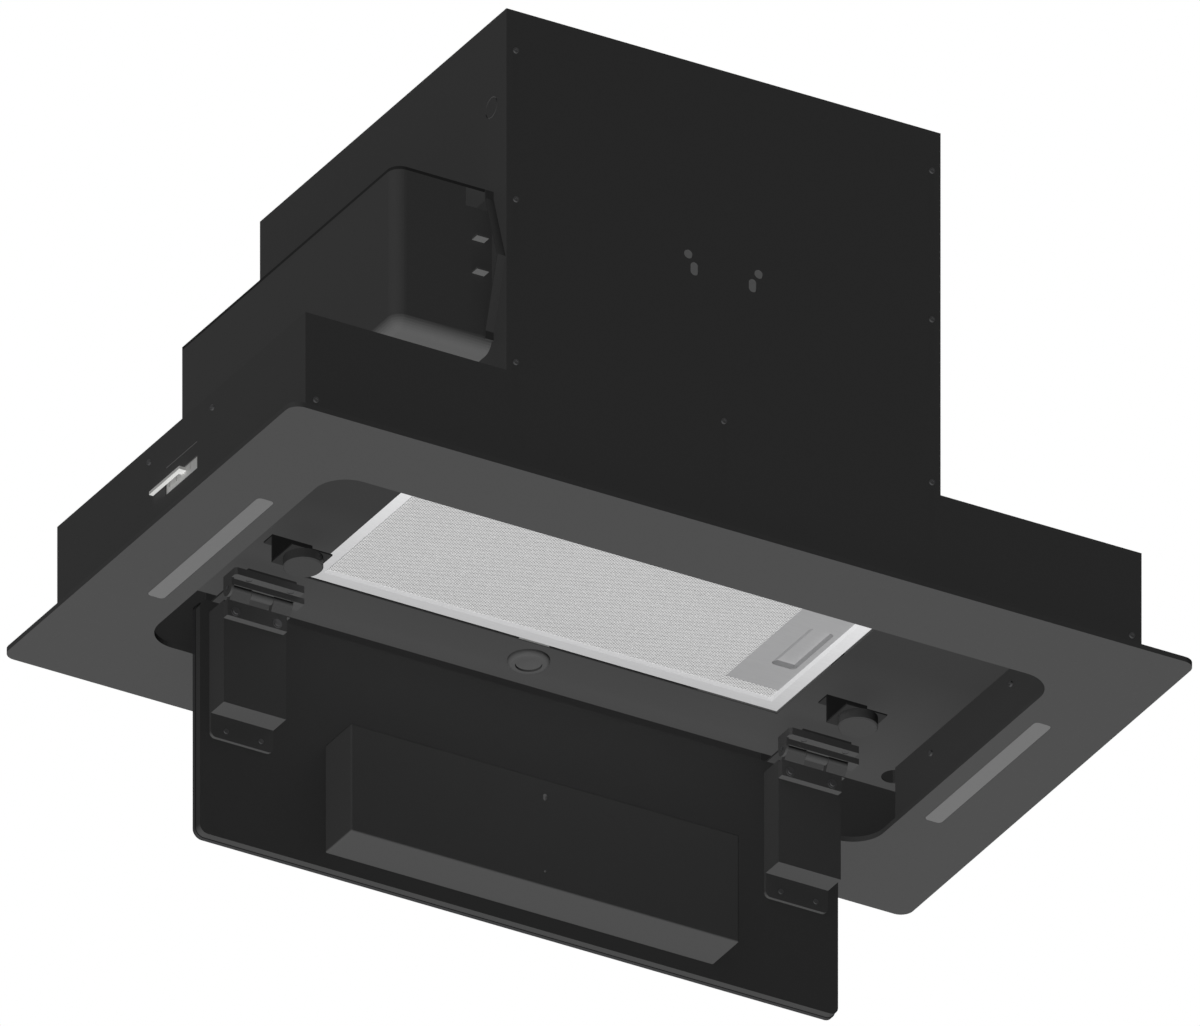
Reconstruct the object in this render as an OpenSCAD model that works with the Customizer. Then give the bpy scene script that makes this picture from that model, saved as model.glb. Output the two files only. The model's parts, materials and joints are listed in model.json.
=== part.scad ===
// Built-in range hood with perimeter suction, seen with its suction panel hanging open.
// Origin: centre of the frame plate, on the seat plane where the frame meets the cabinet.
// +X runs to the right along the hood, +Y away from the cook, +Z up.

/* [Frame plate] */
// Width of the frame plate
frame_w = 900; // [860:1:960]
// Depth of the frame plate
frame_d = 502; // [480:1:560]
// Thickness of the frame plate
frame_t = 5; // [3:0.5:8]
// Corner radius of the frame plate
frame_r = 12; // [4:1:30]
// Width of the opening in the frame plate
open_w = 721; // [700:1:730]
// Depth of the opening in the frame plate
open_d = 330; // [320:1:332]
// Corner radius of the opening
open_r = 30; // [10:1:60]

/* [Light strips] */
// Length of each light strip
light_l = 193; // [120:1:230]
// Width of each light strip
light_w = 16.5; // [12:0.5:20]
// Land between the opening and a light strip
light_land = 18; // [14:0.5:20]
// Corner radius of a light strip
light_r = 4; // [1:0.5:5]

/* [Lower casing] */
// Outer width of the lower casing
low_w = 832; // [820:1:850]
// Outer depth of the lower casing
low_d = 428; // [420:1:440]
// Height of the lower casing above the seat plane
low_h = 115; // [105:1:130]
// Thickness of the sheet steel
sheet_t = 1; // [0.8:0.1:1.4]

/* [Motor casing] */
// Outer width of the motor casing
tall_w = 432; // [420:1:450]
// Outer depth of the motor casing
tall_d = 425; // [415:1:427]
// Height of the top of the motor casing above the seat plane
tall_top = 475; // [450:1:520]
// Diameter of the duct outlet
duct_dia = 150; // [120:1:160]
// Length of the duct collar above the casing
duct_l = 38; // [25:1:60]

/* [Recess] */
// Height of the recess ceiling above the seat plane
ceiling_z = 61; // [59:0.5:66]
// Inner width between the side walls of the recess
tray_w = 740; // [736:1:748]
// Inner depth between the long walls of the recess
tray_d = 334; // [334:1:345]
// Radius of the corner relief holes
relief_r = 11.5; // [6:0.5:13]

/* [Grease filter] */
// Width of the filter opening
filter_w = 471; // [450:1:480]
// Depth of the filter opening
filter_d = 204; // [196:1:206]
// Width of a filter frame member
member_w = 15; // [12:0.5:18]
// Height of the filter frame
filter_h = 9; // [8:0.5:12]

/* [Suction panel] */
// Width of the suction panel
panel_w = 637; // [620:1:650]
// Length of the suction panel
panel_l = 230.5; // [215:0.5:235]
// Thickness of the panel's steel back
back_t = 7; // [5:0.5:9]
// Thickness of the panel's glass face
glass_t = 4; // [3:0.5:6]
// Corner radius of the suction panel
panel_r = 8; // [3:1:15]
// Width of the air guide on the panel
guide_w = 386; // [360:1:400]
// Length of the air guide on the panel
guide_l = 107; // [90:1:110]
// Height of the air guide above the panel's inner face
guide_h = 45; // [30:1:48]

/* [Hinges] */
// Distance of each hinge from the middle of the hood
hinge_x = 276; // [270:1:280]
// Width of a hinge leaf and of the arm below it
arm_w = 62; // [56:1:68]
// Height of an arm above the panel's inner face
arm_h = 25; // [22:0.5:25]
// Length of an arm below the pivot
arm_l = 109; // [90:1:110]
// Diameter of the hinge pin
pin_dia = 4; // [3:0.5:5]

/* [Holding magnets] */
// Diameter of a holding magnet
magnet_dia = 35; // [28:1:37]
// Distance of the magnets from the middle of the hood along Y
magnet_y = 32.5; // [26:0.5:34]

/* [Electronics housing] */
// How far the housing stands out from the motor casing
box_out = 97; // [80:1:98]
// Length of the housing
box_l = 366; // [340:1:370]
// Height of the housing
box_h = 158; // [140:1:165]
// Radius of the housing's moulded edges
box_r = 12; // [6:1:18]

/* [Blower] */
// Outer diameter of the impeller
fan_dia = 150; // [130:1:155]
// Width of the impeller
fan_w = 110; // [90:1:120]
// Number of impeller blades
blade_count = 28; // [18:1:36]

/* [Hidden] */
$fn = 48;
// Overrun that lets every cut pass cleanly through a face
cut = 1;
// Clearance between pieces that move past each other
play = 0.3;

// Screws: head radius, head height, shank radius, shank length and clearance hole radius
head_r = 2.6;
head_h = 1.8;
shank_r = 1.6;
shank_l = 5;
hole_r = 2;
// Head of a hinge leaf screw and its washer, and head of a screw in an arm's foot
leaf_head_r = 2.8;
washer_r = 4.4;
foot_head_r = 2.4;

// Depth of the seam that the motor casing leaves behind the lower casing
tall_y0 = -low_d / 2;
tall_y1 = tall_y0 + tall_d;
tall_mid_y = (tall_y0 + tall_y1) / 2;
tall_mid_z = (low_h + tall_top) / 2;

// Low rib on the frame plate round the foot of the lower casing, inside the seat rim
rib_w = 1.5;
rib_up = 0.8;

// Light strip centre
light_x = open_w / 2 + light_land + light_w / 2;
// LED module above each strip
module_w = 26;
module_h = 14;
module_over = 4;

// Recess details; the seam is the gap that a weld bridges between the tray's sheets
seam = 0.1;
relief_inset = 22;
relief_gap = 36;
ledge_w = 26;
flange_w = 14;
lug_r = 7.6;
lug_x = 350;
wall_screw_z = 44;
wall_screw_y = 69;

// Filter place in the ceiling
filter_far = filter_d / 2;
filter_left = -filter_w / 2;
filter_right = filter_w / 2;
filter_near = -filter_d / 2;
filter_gap = 0.8;
filter_up = 2;
filter_z = ceiling_z + filter_up;
member_lip = 2.5;
member_slope = 3;
mesh_t = 5;
tongue_l = 9;
tongue_w = 30;
tongue_t = 2.3;
tongue_pitch = 120;
end_w = 52;
end_far_gap = 14;
end_t = 1.5;

// Latch handle in the end plate
latch_l = 70;
latch_w = 24;
latch_inset = 5.5;
latch_lip = 7.5;
latch_depth = 4;
latch_r = 4;
latch_travel = 6;
bolt_w = 18;
bolt_t = 1.6;
cup_wall = 1;
keeper_w = 9;
// Height of the plate's upper face, on which the handle slides, and the handle's right wall
end_top = filter_z + member_lip + end_t / 2;
latch_z = end_top;
bolt_z = latch_z + cup_wall / 2;
latch_x1 = filter_right - filter_gap - member_w - latch_inset;
latch_x0 = latch_x1 - latch_w;

// Hinge pivot, from the lines of the open panel and of the two magnets that it meets closed
pivot_y = 106;
pivot_z = 31;
// The panel's inner face stands this far behind the pivot when it hangs open
face_back = 32.5;
inner_y = pivot_y + face_back;
panel_top = pivot_z + 5;
panel_bottom = panel_top - panel_l - panel_r / 2;
glass_over = 1;
back_skin = 1.5;

// Hinge parts
arm_front = inner_y - arm_h;
arm_top = pivot_z - 7.5;
arm_bottom = pivot_z - arm_l;
foot_l = 18;
foot_screw_z = 14.4;
// The arm and the leaf stand a little to the left of the knuckles
arm_shift = -1.2;
leaf_shift = -2.7;
leaf_w = 59.5;
leaf_screw_x = -3.4;
foot_t = 3;
foot_r = 5;
leaf_front = pivot_y + 1;
leaf_top = pivot_z - 10;
leaf_bottom = pivot_z - 25.8;
leaf_z = pivot_z - 20.3;
knuckle_r = 4.2;
knuckle_w = 19;
knuckle_in = 0.9;
knuckle_gap = 0.4;
hook_y = 3.5;
hook_z = 2.2;
groove_r = knuckle_r + 1.4;
ear_t = 2.3;
ear_r = 7.3;
pin_play = 0.08;
screw_pitch = 41.6;
base_top = pivot_z + 14.7;
base_step = base_top - 7;
base_low = pivot_z + 1.9;
base_near = pivot_y - 13.7;
base_step_y = base_near + 8;
base_far = pivot_y + ear_r;
base_upper_w = 68.4;
base_lower_w = 73.1;
base_chamfer = 3;
base_left = knuckle_in - knuckle_gap - ear_t - arm_w / 2;
base_screw_y = base_near + 4.5;
base_screws_x = [-16.6, 24.7];
base_head_r = 2.7;
base_head_in = 0.6;
stand_t = 2;
stand_w = 48;
stand_leg = 12;
stand_shift = 4.05;

// Magnet brackets
magnet_h = 9.9;
magnet_gap = 0.3;
magnet_low = pivot_z - (arm_front - pivot_y) + magnet_gap;
magnet_top = magnet_low + magnet_h;
bracket_w = 40;
bracket_t = 1.5;
bracket_y = magnet_y + 18.5;
bracket_foot = 15;

// Push button near the hinge line
button_x = 3.4;
button_y = 127.8;
bezel_r = 18.5;
bezel_in = 11.8;
bezel_h = 5.5;
bezel_round = 4;
cap_gap = 0.4;
cap_h = 4.8;
cap_up = 1.8;
cap_dish = 0.9;
button_travel = 2;
stem_r = 3;
stem_lip = 1.5;
switch_w = 26;
switch_h = 14;

// Terminal block behind the window of the lower casing
window_l = 54.5;
window_z = 53;
window_h = 12.5;
window_slit_z = 79;
slit_w = 0.9;
block_t = 15;
block_l = 66;
block_low = 47;
block_h = 26;
block_gap = 1;
lever_l = 52;
lever_w = 4;
lever_t = 3;
lever_y = -5;
lever_z = window_z + 9;

// Corner brackets
corner_leg = 30;
corner_h = 45;
corner_t = 1.5;
corner_screw_z = 30;
corner_screw_in = 10;

// Motor casing screws and hanging holes
side_in = 9;
rows_z = [low_h + 10, 287, 435];
mid_screw_z = low_h + 11;
hang_x = 35;
hang_z = 282.5;
hang_r = 4.2;
slot_x = 29;
slot_z = 269.5;
slot_half = 2.6;
slot_r = 3.8;
knock_r = 10;
knock_y = -188;
knock_z = 389;
knock_gap = 0.7;
knock_web = 3;
top_flange = 15;
collar_t = 1.5;
collar_flange = 12;
gland_r = 8;
gland_h = 16;
gland_x = -160;
gland_y = 150;
gland_hole = 4;
gland_flats = 6;

// Electronics housing
box_y0 = tall_y0 + 25;
box_z0 = 147;
box_top = box_z0 + box_h;
box_wall = 2.5;
lid_t = 3;
lid_in = 0;
lid_lift = 0;
notch_l = 26;
notch_h = 18;
rib_t = 2;
rib_out = 9;
rib_h = 12;
strap_w = 8;
strap_t = 1.4;
strap_gap = 1.5;
strap_reach = 23.5;
strap_top = box_top - 10;
strap_low = box_z0 + 16;
strap_mid = (strap_top + strap_low) / 2;
board_t = 1.6;
board_gap = 6;
board_in = 14;

// Blower inside the motor casing
fan_x = 0;
fan_y = tall_mid_y;
fan_z = low_h + 128;
scroll_w = fan_w + 26;
scroll_r = fan_dia / 2 + 14;
scroll_step = 9;
scroll_t = 2;
inlet_r = fan_dia / 2 - 8;
outlet_w = 104;
outlet_y = scroll_r + 3 * scroll_step - outlet_w / 2;
collar_y = fan_y + outlet_y;
blade_t = 1.2;
blade_deep = 14;
blade_in = 1;
ring_t = 3;
hub_r = 20;
disc_t = 3;
motor_r = 46;
motor_l = 70;
shaft_r = 4;
shaft_out = 16;
spoke_w = 12;
spoke_t = 4;
foot_w = 30;

// A rounded rectangle centred on the origin
module rounded(w, d, r) {
    hole = r;
    union() {
        square([w - 2 * hole, d], center = true);
        square([w, d - 2 * hole], center = true);
        for (sx = [-1, 1], sy = [-1, 1])
            translate([sx * (w / 2 - hole), sy * (d / 2 - hole)]) circle(r = hole);
    }
}

// A box given by its lowest corner and its size
module block(at, size) {
    translate(at) cube(size);
}

// A box centred in X and Y that stands on the given height
module tile(x, y, z, w, d, h) {
    translate([x - w / 2, y - d / 2, z]) cube([w, d, h]);
}

// A rod along X between two places
module rod_x(x0, x1, y, z, r) {
    translate([x0, y, z]) rotate([0, 90, 0]) cylinder(r = r, h = x1 - x0);
}

// A pan-head screw at the origin with its head below z = 0 and its shank above
module screw() {
    difference() {
        union() {
            translate([0, 0, -head_h]) cylinder(r = head_r, h = head_h);
            cylinder(r = shank_r, h = shank_l);
        }
        for (a = [0, 90])
            rotate([0, 0, a])
                tile(0, 0, -head_h - cut, head_r, shank_r / 2, cut + head_h / 2);
    }
}

// Screws whose heads point to -Y, to -X, to +X, or down
module screw_near(at) { translate(at) rotate([-90, 0, 0]) screw(); }
module screw_left(at) { translate(at) rotate([0, 90, 0]) screw(); }
module screw_right(at) { translate(at) rotate([0, -90, 0]) screw(); }
module screw_far(at) { translate(at) rotate([90, 0, 0]) screw(); }

// A clearance hole along Y or X through a sheet
module hole_y(at, r = hole_r) {
    translate(at) rotate([90, 0, 0]) cylinder(r = r, h = shank_l * 2, center = true);
}
module hole_x(at, r = hole_r) {
    translate(at) rotate([0, 90, 0]) cylinder(r = r, h = shank_l * 2, center = true);
}
module hole_z(at, r = hole_r) {
    translate(at) cylinder(r = r, h = shank_l * 2, center = true);
}

// The flat outline of a light strip, enlarged by an extra margin
module strip_outline(extra) {
    rounded(light_w + 2 * extra, light_l + 2 * extra, light_r + extra);
}

// Painted steel frame plate with its rounded opening, two light slots and the casing rib
module frame_plate() {
    rib_in = low_w + 2 * play;
    rib_deep = low_d + 2 * play;
    color("#2b2b2b") difference() {
        union() {
            translate([0, 0, -frame_t]) linear_extrude(frame_t) rounded(frame_w, frame_d, frame_r);
            difference() {
                tile(0, 0, -cut, rib_in + 2 * rib_w, rib_deep + 2 * rib_w, rib_up + cut);
                tile(0, 0, -2 * cut, rib_in, rib_deep, rib_up + 3 * cut);
            }
        }
        translate([0, 0, -frame_t - cut])
            linear_extrude(frame_t + 2 * cut) rounded(open_w, open_d, open_r);
        for (s = [-1, 1])
            translate([s * light_x, 0, -frame_t - cut])
                linear_extrude(frame_t + 2 * cut) strip_outline(play);
    }
}

// Opal covers of the two light strips, flush with the frame
module light_diffusers() {
    color("#8a8a8a") for (s = [-1, 1])
        translate([s * light_x, 0, -frame_t]) linear_extrude(frame_t) strip_outline(0);
}

// LED modules that sit on the frame above the covers
module light_modules() {
    rim = (module_w - light_w) / 2;
    color("#c8c8c8") for (s = [-1, 1]) translate([s * light_x, 0, 0]) difference() {
        tile(0, 0, 0, module_w, light_l + 2 * module_over, module_h);
        tile(0, 0, module_over, module_w - rim, light_l, module_h);
    }
}

// Places of the screws in the lower casing's near wall
corner_xs = [for (s = [-1, 1]) s * (low_w / 2 - corner_screw_in)];

// Low wide sheet casing that stands on the frame
module lower_casing() {
    inner_w = low_w - 2 * sheet_t;
    inner_d = low_d - 2 * sheet_t;
    color("#262626") difference() {
        tile(0, 0, 0, low_w, low_d, low_h);
        tile(0, 0, -cut, inner_w, inner_d, low_h - sheet_t + cut);
        translate([0, tall_mid_y, low_h - sheet_t - cut])
            tile(0, 0, 0, tall_w - 2 * top_flange, tall_d - 2 * top_flange, sheet_t + 2 * cut);
        translate([-low_w / 2 - cut, -window_l / 2, window_z])
            cube([sheet_t + 2 * cut, window_l, window_h]);
        translate([-low_w / 2 - cut, -window_l / 2, window_slit_z])
            cube([sheet_t + 2 * cut, window_l, slit_w]);
        for (x = corner_xs, s = [-1, 1]) hole_y([x, s * low_d / 2, corner_screw_z]);
        for (s = [-1, 1]) hole_x([-low_w / 2, s * window_l, ceiling_z + low_h / 3]);
    }
}

// Angles that hold the lower casing to the frame, one in each corner
module corner_brackets() {
    cx = low_w / 2 - sheet_t;
    cy = low_d / 2 - sheet_t;
    color("#9a9a9a") for (sx = [-1, 1], sy = [-1, 1]) scale([sx, sy, 1]) difference() {
        union() {
            block([cx - corner_leg, cy - corner_t, 0], [corner_leg, corner_t, corner_h]);
            block([cx - corner_t, cy - corner_leg, 0], [corner_t, corner_leg, corner_h]);
            block([cx - corner_leg, cy - corner_leg, 0], [corner_leg, corner_leg, corner_t]);
        }
        hole_y([low_w / 2 - corner_screw_in, low_d / 2, corner_screw_z]);
    }
}

// Welded steel recess: ceiling with the latch keeper, end walls, and long walls with flanges
module recess_tray() {
    wall_l = tray_d - 2 * relief_gap;
    full_w = tray_w + 2 * ledge_w;
    color("#3c3c3c") {
        difference() {
            union() {
                tile(0, 0, ceiling_z, full_w, tray_d + 2 * sheet_t, sheet_t);
                block([filter_right + play, -bolt_w / 2, ceiling_z],
                    [keeper_w, bolt_w, bolt_z - ceiling_z]);
            }
            block([filter_left, filter_near, ceiling_z - cut],
                [filter_w, filter_d, sheet_t + 2 * cut]);
            for (s = [-1, 1])
                hole_z([s * (tray_w / 2 + relief_inset / 3), tray_d / 2 - relief_inset,
                    ceiling_z], relief_r);
            hole_z([button_x, button_y, ceiling_z], stem_r + play);
            for (s = [-1, 1], x = [-1, 1])
                hole_z([s * hinge_x + x * bracket_w / 4, bracket_y + bracket_foot * 0.6,
                    ceiling_z]);
        }
        for (s = [-1, 1]) {
            difference() {
                tile(s * (tray_w + sheet_t) / 2, 0, 0, sheet_t, wall_l, ceiling_z - seam);
                for (y = [-1, 1]) hole_x([s * tray_w / 2, y * wall_screw_y, wall_screw_z]);
            }
            difference() {
                union() {
                    tile(0, s * (tray_d + sheet_t) / 2, 0, full_w, sheet_t, ceiling_z - seam);
                    tile(0, s * (tray_d + flange_w) / 2, 0, full_w, flange_w, sheet_t);
                }
                for (e = [-1, 1], x = [-1, 1])
                    hole_y([stand_x(e) + x * stand_w / 4, tray_d / 2, stand_hole_z]);
            }
        }
    }
}

// Keyhole pattern in the near wall of the motor casing
module hang_holes() {
    for (s = [-1, 1]) {
        hole_y([s * hang_x, tall_y0, hang_z], hang_r);
        for (z = [-slot_half, slot_half]) hole_y([s * slot_x, tall_y0, slot_z + z], slot_r);
        translate([s * slot_x - slot_r, tall_y0 - shank_l, slot_z - slot_half])
            cube([2 * slot_r, 2 * shank_l, 2 * slot_half]);
    }
}

// Knock-out disc of the left wall, held by two webs
module knock_out() {
    translate([-tall_w / 2, knock_y, knock_z]) rotate([0, 90, 0]) difference() {
        cylinder(r = knock_r, h = shank_l, center = true);
        cylinder(r = knock_r - knock_gap, h = shank_l + cut, center = true);
        cube([knock_web, 3 * knock_r, shank_l + cut], center = true);
    }
}

// Tall sheet casing round the blower, open at its foot
module motor_casing() {
    color("#262626") difference() {
        tile(0, tall_mid_y, low_h, tall_w, tall_d, tall_top - low_h);
        tile(0, tall_mid_y, low_h - cut, tall_w - 2 * sheet_t, tall_d - 2 * sheet_t,
            tall_top - low_h - sheet_t + cut);
        translate([0, collar_y, tall_top - 2 * cut - sheet_t])
            cylinder(r = duct_dia / 2 - collar_t, h = 4 * cut + sheet_t);
        hang_holes();
        knock_out();
        for (s = [-1, 1], z = rows_z) hole_y([s * (tall_w / 2 - side_in), tall_y0, z]);
        hole_y([0, tall_y0, mid_screw_z]);
        hole_z([gland_x, gland_y, tall_top], gland_hole + cut);
    }
}

// Flanged collar that takes the exhaust duct
module duct_collar() {
    color("#8f9194") translate([0, collar_y, tall_top]) difference() {
        union() {
            cylinder(r = duct_dia / 2, h = duct_l);
            cylinder(r = duct_dia / 2 + collar_flange, h = collar_t);
        }
        translate([0, 0, -cut]) cylinder(r = duct_dia / 2 - collar_t, h = duct_l + 2 * cut);
    }
}

// Six-sided gland where the mains lead enters the casing
module cable_gland() {
    color("#1c1c1c") translate([gland_x, gland_y, tall_top]) difference() {
        union() {
            cylinder(r = gland_r, h = gland_h / 2, $fn = gland_flats);
            cylinder(r = gland_r * 0.75, h = gland_h);
        }
        translate([0, 0, -cut]) cylinder(r = gland_hole, h = gland_h + 2 * cut);
    }
}

// Bevelled cross-section of a filter frame member, outer edge at x = 0
module member_outline() {
    polygon([[0, 0], [member_w - member_slope, 0], [member_w, member_lip],
        [member_w, filter_h], [0, filter_h]]);
}

// Aluminium filter frame with bevelled members and the tongues at its left end
module filter_frame() {
    w = filter_w - 2 * filter_gap;
    d = filter_d - 2 * filter_gap;
    color("#c9cbcc") translate([0, 0, filter_z]) difference() {
        union() {
            for (a = [0, 180]) rotate([0, 0, a]) {
                translate([0, -d / 2, 0]) rotate([90, 0, 90])
                    linear_extrude(w, center = true) member_outline();
                translate([-w / 2, 0, 0]) rotate([90, 0, 0])
                    linear_extrude(d, center = true) member_outline();
            }
            for (s = [-1, 1])
                tile(-w / 2 - tongue_l / 2, s * tongue_pitch / 2, sheet_t - filter_up,
                    tongue_l, tongue_w, tongue_t);
        }
        tile(w / 2 - member_w / 2, 0, bolt_z - filter_z - play, member_w + 2 * cut,
            bolt_w + 2 * play, bolt_t + 2 * play);
    }
}

// Expanded aluminium filter pack inside the frame
module filter_mesh() {
    w = filter_w - 2 * filter_gap - 2 * member_w;
    d = filter_d - 2 * filter_gap - 2 * member_w;
    color("#a8abad") translate([filter_left + filter_gap + member_w,
        filter_near + filter_gap + member_w, filter_z + member_lip]) difference() {
        cube([w, d, mesh_t]);
        block([w - end_w, -cut, -cut], [end_w + cut, d - end_far_gap + cut,
            mesh_t + 2 * cut]);
    }
}

// Cover plate at the filter's right end, with the hole for the sliding handle
module filter_end_plate() {
    x1 = filter_right - filter_gap - member_w;
    y0 = filter_near + filter_gap + member_w;
    l = filter_d - 2 * filter_gap - 2 * member_w - end_far_gap;
    color("#9b9d9f") difference() {
        block([x1 - end_w, y0, end_top - end_t], [end_w, l, end_t]);
        translate([(latch_x0 + latch_x1) / 2, 0, filter_z])
            linear_extrude(filter_h) rounded(latch_w, latch_l, latch_r);
    }
}

// Sliding finger pull with a sloping lip, and the bolt that carries the filter's right end
module filter_latch() {
    d = latch_depth;
    color("#a0a2a4") union() {
        difference() {
            block([latch_x0 - cup_wall, -latch_l / 2 - cup_wall, latch_z],
                [latch_w + 2 * cup_wall, latch_l + 2 * cup_wall, d + cup_wall]);
            translate([0, 0, latch_z]) rotate([90, 0, 0]) linear_extrude(latch_l, center = true)
                polygon([[latch_x0, -cut], [latch_x1, -cut], [latch_x1, d],
                    [latch_x0 + latch_lip, d], [latch_x0, 0]]);
        }
        block([latch_x1, -bolt_w / 2, bolt_z],
            [filter_right + latch_travel - latch_x1, bolt_w, bolt_t]);
    }
}

// Folded steel back of the suction panel, drawn as it hangs open
module suction_panel_back() {
    w = panel_w - 2 * glass_over;
    h = panel_top - panel_bottom - 2 * glass_over;
    color("#262626") translate([0, inner_y, (panel_top + panel_bottom) / 2]) rotate([-90, 0, 0])
        difference() {
            linear_extrude(back_t) rounded(w, h, panel_r);
            translate([0, 0, back_skin]) linear_extrude(back_t)
                rounded(w - 2 * back_skin, h - 2 * back_skin, panel_r - back_skin);
        }
}

// Glass face of the suction panel
module suction_panel_glass() {
    h = panel_top - panel_bottom;
    color("#1d1d1d") translate([0, inner_y + back_t + glass_t, panel_bottom + h / 2])
        rotate([90, 0, 0]) linear_extrude(glass_t) rounded(panel_w, h, panel_r + glass_over);
}

// Moulded arm that lifts a hinge leaf off the panel
module panel_arm(x) {
    color("#272727") translate([x, 0, 0]) difference() {
        union() {
            block([arm_shift - arm_w / 2, arm_front, arm_bottom],
                [arm_w, arm_h, arm_top - arm_bottom]);
            translate([arm_shift, inner_y, arm_bottom - foot_l / 2]) rotate([90, 0, 0])
                linear_extrude(foot_t) rounded(arm_w, foot_l + 2 * foot_r, foot_r);
        }
        for (s = [-1, 1]) {
            hole_y([leaf_screw_x + s * screw_pitch / 2, arm_front, leaf_z]);
            hole_y([s * screw_pitch / 2.4, inner_y, arm_bottom - foot_screw_z]);
        }
    }
}
module panel_arm_left() { panel_arm(-hinge_x); }
module panel_arm_right() { panel_arm(hinge_x); }

// Small screws in the feet of the two arms
module panel_arm_screws() {
    color("#4a4a4a") for (x = [-hinge_x, hinge_x], s = [-1, 1])
        translate([x + s * screw_pitch / 2.4, inner_y - foot_t, arm_bottom - foot_screw_z])
            rotate([-90, 0, 0]) {
                translate([0, 0, -head_h / 2]) cylinder(r = foot_head_r, h = head_h / 2);
                cylinder(r = shank_r, h = foot_t);
            }
}

// Raised body on the panel's inner face that steers air to the rim
module air_guide() {
    top = pivot_z - 107;
    color("#272727") difference() {
        block([-guide_w / 2, inner_y - guide_h, top - guide_l], [guide_w, guide_h, guide_l]);
        block([-guide_w / 2 + foot_t, inner_y - guide_h + foot_t, top - guide_l + foot_t],
            [guide_w - 2 * foot_t, guide_h + cut, guide_l - 2 * foot_t]);
        for (z = [-slot_half / 2, slot_half / 2])
            hole_y([0, inner_y - guide_h, top - guide_l * 0.17 + z], hole_r);
        hole_y([0, inner_y - guide_h, top - guide_l * 0.86], hole_r / 2);
    }
}

// Ranges along X of the two knuckles that belong to the leaf
function leaf_knuckles() = [[-arm_w / 2 + knuckle_in, -arm_w / 2 + knuckle_in + knuckle_w],
    [arm_w / 2 - knuckle_in - knuckle_w, arm_w / 2 - knuckle_in]];

// Thick hinge leaf screwed to the arm, with its two knuckles round the pin
module hinge_leaf(x) {
    color("#2a2a2a") translate([x, 0, 0]) difference() {
        union() {
            block([leaf_shift - leaf_w / 2, leaf_front, leaf_bottom],
                [leaf_w, arm_front - leaf_front, leaf_top - leaf_bottom]);
            for (k = leaf_knuckles()) {
                rod_x(k[0], k[1], pivot_y, pivot_z, knuckle_r);
                translate([k[0], 0, 0]) rotate([90, 0, 90]) linear_extrude(k[1] - k[0])
                    polygon([[pivot_y - hook_y, pivot_z - hook_z], [leaf_front, leaf_top],
                        [leaf_front, leaf_top - cut], [arm_front, leaf_top - cut],
                        [arm_front, leaf_top], [pivot_y + hook_y, pivot_z - hook_z]]);
            }
        }
        rod_x(-arm_w, arm_w, pivot_y, pivot_z, pin_dia / 2 + pin_play);
        for (s = [-1, 1])
            hole_y([leaf_screw_x + s * screw_pitch / 2, (leaf_front + arm_front) / 2, leaf_z]);
    }
}
module hinge_leaf_left() { hinge_leaf(-hinge_x); }
module hinge_leaf_right() { hinge_leaf(hinge_x); }

// Screws with washers through the two leaves
module hinge_leaf_screws() {
    color("#5a5a5a") for (x = [-hinge_x, hinge_x], s = [-1, 1])
        translate([x + leaf_screw_x + s * screw_pitch / 2, leaf_front, leaf_z]) rotate([-90, 0, 0]) {
            translate([0, 0, -head_h / 4]) cylinder(r = washer_r, h = head_h / 4);
            translate([0, 0, -head_h]) cylinder(r = leaf_head_r, h = head_h);
            cylinder(r = shank_r, h = arm_front - leaf_front + foot_t);
        }
}

// Stepped hinge body with its ear; the leaf's knuckles turn in its grooves
module hinge_base(x) {
    k = leaf_knuckles();
    color("#2d2d2d") translate([x, 0, 0]) difference() {
        union() {
            difference() {
                block([base_left, base_near, base_step],
                    [base_upper_w, base_far - base_near, base_top - base_step]);
                translate([base_left, base_near, base_step - cut]) rotate([0, 0, 45])
                    tile(0, 0, 0, base_chamfer, base_chamfer, base_top);
            }
            block([base_left, base_step_y, base_low],
                [base_lower_w, base_far - base_step_y, base_step - base_low]);
            rod_x(base_left, base_left + ear_t, pivot_y, pivot_z, ear_r);
            block([base_left, pivot_y - ear_r, pivot_z], [ear_t, 2 * ear_r, base_step - pivot_z]);
            rod_x(k[0][1] + knuckle_gap, k[1][0] - knuckle_gap, pivot_y, pivot_z, knuckle_r);
        }
        for (e = k) rod_x(e[0] - knuckle_gap, e[1] + knuckle_gap, pivot_y, pivot_z, groove_r);
        rod_x(-base_lower_w, base_lower_w, pivot_y, pivot_z, pin_dia / 2);
        for (sx = base_screws_x)
            translate([sx, base_screw_y, base_low]) cylinder(r = base_head_r, h = base_top);
    }
}
module hinge_base_left() { hinge_base(-hinge_x); }
module hinge_base_right() { hinge_base(hinge_x); }

// X of a hinge stand, which lies to the right of its hinge's middle
function stand_x(s) = s * hinge_x + stand_shift;
stand_hole_z = base_top + stand_t + stand_leg / 2;

// Sunk screws that hold the hinge bodies to their stands
module hinge_base_screws() {
    color("#3a3a3a") for (x = [-hinge_x, hinge_x], sx = base_screws_x)
        translate([x + sx, base_screw_y, base_step + base_head_in])
            cylinder(r = base_head_r, h = base_top + stand_t - base_step - base_head_in);
}

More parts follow.
